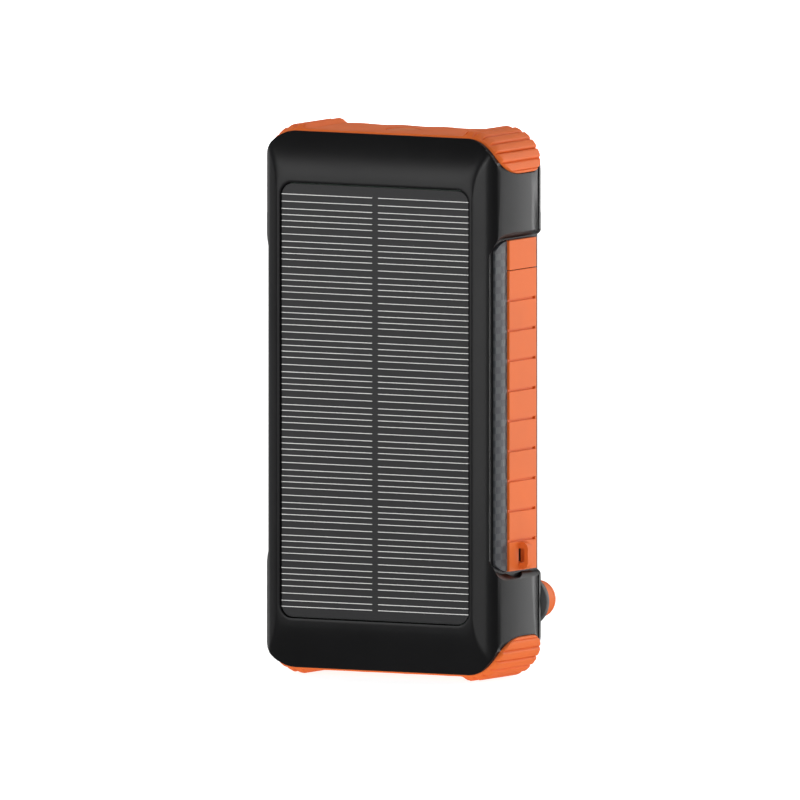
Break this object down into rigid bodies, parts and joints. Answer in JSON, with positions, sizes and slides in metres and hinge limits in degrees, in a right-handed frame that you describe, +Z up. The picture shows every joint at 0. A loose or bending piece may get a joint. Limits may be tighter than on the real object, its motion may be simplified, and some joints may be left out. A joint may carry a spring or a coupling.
{
  "type": "solar phone charger",
  "caption": "Rugged upright power bank with a solar panel on its front, ribbed rubber bumpers, side ports under a soft strip and a hand crank on its back.",
  "frame": {"origin": "on the standing plane, under the middle of the case", "axes": "+Z up along the case, -Y the way the solar panel faces, +X towards the charging ports"},
  "size_m": [0.0814, 0.0425, 0.163],
  "materials": {
    "black_shell": "fine matt moulded ABS, semi-gloss at the bezel",
    "orange_rubber": "satin orange thermoplastic rubber",
    "grip_grey": "chequered two-tone grip film",
    "panel_sheet": "clear satin PET sheet",
    "solar_silicon": "dark silicon strips with silver contact lines",
    "circuit_board": "green solder mask",
    "foam_tape": "foam tape",
    "pouch_foil": "laminated foil pouch",
    "socket_steel": "nickel plated sheet",
    "chip_black": "moulded packages and ferrite",
    "zinc_steel": "zinc plated steel",
    "brass_bush": "sintered bronze",
    "gear_nylon": "natural nylon",
    "magnet_black": "ferrite magnet",
    "arm_grey": "dark grey painted metal",
    "clear_plastic": "clear polycarbonate",
    "reflector_chrome": "vacuum metallised cup",
    "led_white": "LED package",
    "wire_red": "insulated lead",
    "wire_blue": "insulated lead"
  },
  "bodies": {
    "case": {"front_shell": "black_shell", "rear_cover": "black_shell", "top_bumper": "orange_rubber", "bottom_bumper": "orange_rubber", "left_trim_strip": "orange_rubber", "port_cover_anchor": "orange_rubber", "right_grip_inlay": "grip_grey", "left_grip_inlay": "grip_grey", "panel_sheet": "panel_sheet", "solar_cells": "solar_silicon", "panel_board": "circuit_board", "button_board": "circuit_board", "torch_board": "circuit_board", "main_board": "circuit_board", "panel_tape": "foam_tape", "battery_tape": "foam_tape", "case_seal": "foam_tape", "battery_front": "pouch_foil", "battery_rear": "pouch_foil", "usb_a_sockets": "socket_steel", "usb_c_socket": "socket_steel", "micro_usb_socket": "socket_steel", "tact_switch": "socket_steel", "board_components": "chip_black", "board_screws": "zinc_steel", "case_screws": "zinc_steel", "gear_plate": "zinc_steel", "gear_plate_screws": "zinc_steel", "idler_axle": "zinc_steel", "generator_housing": "zinc_steel", "crank_bush": "brass_bush", "generator_bush": "brass_bush", "torch_lens": "clear_plastic", "indicator_window": "clear_plastic", "torch_reflector": "reflector_chrome", "torch_led": "led_white", "indicator_leds": "led_white", "battery_leads": "wire_red", "panel_leads": "wire_red", "generator_leads": "wire_blue", "torch_leads": "wire_blue", "button_leads": "wire_blue"},
    "crank": {"crank_shaft": "zinc_steel", "crank_gear": "gear_nylon", "crank_arm": "arm_grey", "crank_screw": "zinc_steel", "knob_pin": "zinc_steel"},
    "knob": {"crank_knob": "orange_rubber", "knob_cap": "orange_rubber"},
    "idler": {"idler_gear": "gear_nylon"},
    "generator": {"generator_shaft": "zinc_steel", "generator_rotor": "magnet_black", "generator_pinion": "brass_bush"},
    "flap": {"port_cover": "orange_rubber"},
    "button": {"power_button": "black_shell"}
  },
  "joints": [
    {"name": "crank_spin", "type": "hinge", "parent": "case", "child": "crank", "pos_m": [0, 0.016, 0.0545], "axis": [0, 1, 0], "continuous": true},
    {"name": "knob_spin", "type": "hinge", "parent": "crank", "child": "knob", "pos_m": [0.03238, 0.019, 0.02211], "axis": [0, 1, 0], "continuous": true},
    {"name": "idler_spin", "type": "hinge", "parent": "case", "child": "idler", "pos_m": [-0.01697, 0.008, 0.03753], "axis": [0, 1, 0], "continuous": true},
    {"name": "generator_spin", "type": "hinge", "parent": "case", "child": "generator", "pos_m": [-0.01374, 0.008, 0.02545], "axis": [0, 1, 0], "continuous": true},
    {"name": "port_cover_swing", "type": "hinge", "parent": "case", "child": "flap", "pos_m": [0.0385, 0.005, 0.12159], "axis": [0, -1, 0], "range_deg": [0, 110]},
    {"name": "power_button_press", "type": "slide", "parent": "case", "child": "button", "axis": [1, 0, 0], "range_m": [0, 0.0006], "stiffness_N_per_m": 2500}
  ],
  "couplings": [
    {"joint": "idler_spin", "follows": "crank_spin", "ratio": -4},
    {"joint": "generator_spin", "follows": "crank_spin", "ratio": 16}
  ]
}
